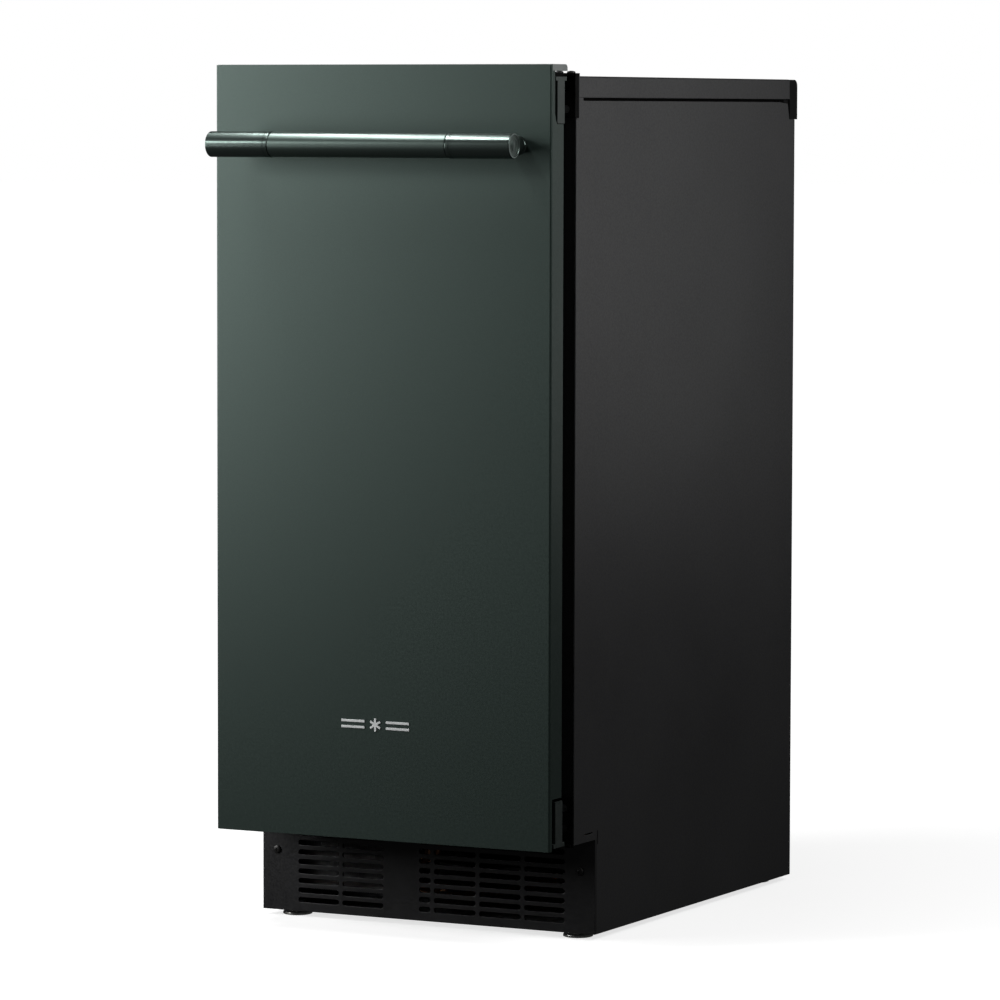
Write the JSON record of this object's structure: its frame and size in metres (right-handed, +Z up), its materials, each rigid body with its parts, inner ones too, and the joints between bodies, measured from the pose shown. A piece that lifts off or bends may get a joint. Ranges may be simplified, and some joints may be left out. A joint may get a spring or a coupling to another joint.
{
  "type": "ice maker",
  "caption": "Narrow undercounter ice maker: insulated cabinet with a bin and cutter grid, hinged dark green door with a bar handle, louvred toe grille and levelling feet.",
  "frame": {"origin": "on the floor, under the middle of the bounding box of the closed machine", "axes": "+Z up; +Y to the back, so the door faces -Y; +X to the hinge side (the right hand of a person facing the door)"},
  "size_m": [0.378, 0.634, 0.8654],
  "materials": {
    "door_paint": "satin dark green metallic paint",
    "handle_satin": "satin dark green metal",
    "handle_gloss": "polished dark green metal",
    "emblem_metal": "satin",
    "cabinet_paint": "satin black, light orange peel",
    "grille_paint": "semi-gloss black",
    "bracket_black": "black powder coat",
    "black_screw": "black oxide",
    "black_plastic": "matt moulded",
    "cap_plastic": "moulded dark grey green",
    "strip_metal": "painted steel",
    "bright_steel": "zinc plated",
    "zinc_screw": "zinc plated",
    "galvanised": "galvanised, spangled",
    "foam": "polyurethane foam",
    "liner_white": "smooth moulded",
    "deck_plastic": "moulded",
    "sensor_black": "moulded",
    "gasket_rubber": "soft matt",
    "stainless": "fine brushed",
    "copper": "drawn copper",
    "fin_aluminium": "mill",
    "motor_grey": "semi-matt",
    "fan_plastic": "moulded",
    "compressor_black": "black enamel",
    "valve_white": "moulded nylon",
    "hose_vinyl": "translucent vinyl",
    "housing_grey": "fine texture",
    "button_grey": "smooth",
    "lens_smoke": "smoked, glossy",
    "board_green": "solder mask",
    "scoop_plastic": "moulded"
  },
  "bodies": {
    "cabinet": {"back_panel": "galvanised", "base_pan": "galvanised", "bin_liner": "liner_white", "bin_sensor": "sensor_black", "cabinet_insulation": "foam", "cabinet_screws": "zinc_screw", "compressor": "compressor_black", "compressor_grommets": "gasket_rubber", "condenser_coil": "copper", "condenser_fins": "fin_aluminium", "control_board": "board_green", "control_housing": "housing_grey", "cutter_grid_frame": "deck_plastic", "cutter_grid_wires": "stainless", "display_lens": "lens_smoke", "drain_fitting": "deck_plastic", "evaporator_coil": "copper", "evaporator_plate": "stainless", "fan_motor": "motor_grey", "fan_shroud": "galvanised", "filter_drier": "copper", "front_frame": "cabinet_paint", "hinge_bracket_lower": "bracket_black", "hinge_bracket_upper": "bracket_black", "hinge_pins": "bright_steel", "hinge_screws": "black_screw", "pump_hose": "hose_vinyl", "rear_access_panel": "galvanised", "rear_guard": "black_plastic", "refrigerant_lines": "copper", "scoop_holder": "deck_plastic", "side_panel_left": "cabinet_paint", "side_panel_right": "cabinet_paint", "toe_grille": "grille_paint", "top_cover": "cabinet_paint", "water_distributor": "deck_plastic", "water_inlet_valve": "valve_white", "water_pan": "deck_plastic", "water_pump": "motor_grey"},
    "door": {"door_skin": "door_paint", "door_cap_top": "cap_plastic", "door_cap_bottom": "cap_plastic", "door_hinge_strips": "strip_metal", "door_liner": "liner_white", "door_insulation": "foam", "door_gasket": "gasket_rubber", "handle_bar": "handle_satin", "handle_sleeves": "handle_gloss", "handle_medallions": "handle_gloss", "handle_standoffs": "handle_gloss", "door_emblem": "emblem_metal"},
    "fan": {"fan_blade": "fan_plastic"},
    "pump_rotor": {"pump_impeller": "fan_plastic"},
    "scoop": {"ice_scoop": "scoop_plastic"},
    "power_key": {"power_button": "button_grey"},
    "clean_key": {"clean_button": "button_grey"},
    "leg_front_left": {"levelling_leg_front_left": "bright_steel"},
    "leg_front_right": {"levelling_leg_front_right": "bright_steel"},
    "leg_rear_left": {"levelling_leg_rear_left": "bright_steel"},
    "leg_rear_right": {"levelling_leg_rear_right": "bright_steel"}
  },
  "joints": [
    {"name": "door_hinge", "type": "hinge", "parent": "cabinet", "child": "door", "pos_m": [0.174, -0.2415, 0.48], "axis": [0, 0, 1], "range_deg": [0, 105]},
    {"name": "fan_spin", "type": "hinge", "parent": "cabinet", "child": "fan", "pos_m": [-0.095, -0.085, 0.103], "axis": [0, 1, 0], "continuous": true},
    {"name": "pump_spin", "type": "hinge", "parent": "cabinet", "child": "pump_rotor", "pos_m": [0.12, 0.134, 0.68], "axis": [0, 0, 1], "continuous": true},
    {"name": "scoop_lift", "type": "slide", "parent": "cabinet", "child": "scoop", "axis": [0, 0, 1], "range_m": [0, 0.045]},
    {"name": "power_press", "type": "slide", "parent": "cabinet", "child": "power_key", "axis": [0, 1, 0], "range_m": [0, 0.0015], "stiffness_N_per_m": 800},
    {"name": "clean_press", "type": "slide", "parent": "cabinet", "child": "clean_key", "axis": [0, 1, 0], "range_m": [0, 0.0015], "stiffness_N_per_m": 800},
    {"name": "front_left_level", "type": "slide", "parent": "cabinet", "child": "leg_front_left", "axis": [0, 0, -1], "range_m": [0, 0.012]},
    {"name": "front_right_level", "type": "slide", "parent": "cabinet", "child": "leg_front_right", "axis": [0, 0, -1], "range_m": [0, 0.012]},
    {"name": "rear_left_level", "type": "slide", "parent": "cabinet", "child": "leg_rear_left", "axis": [0, 0, -1], "range_m": [0, 0.012]},
    {"name": "rear_right_level", "type": "slide", "parent": "cabinet", "child": "leg_rear_right", "axis": [0, 0, -1], "range_m": [0, 0.012]}
  ]
}
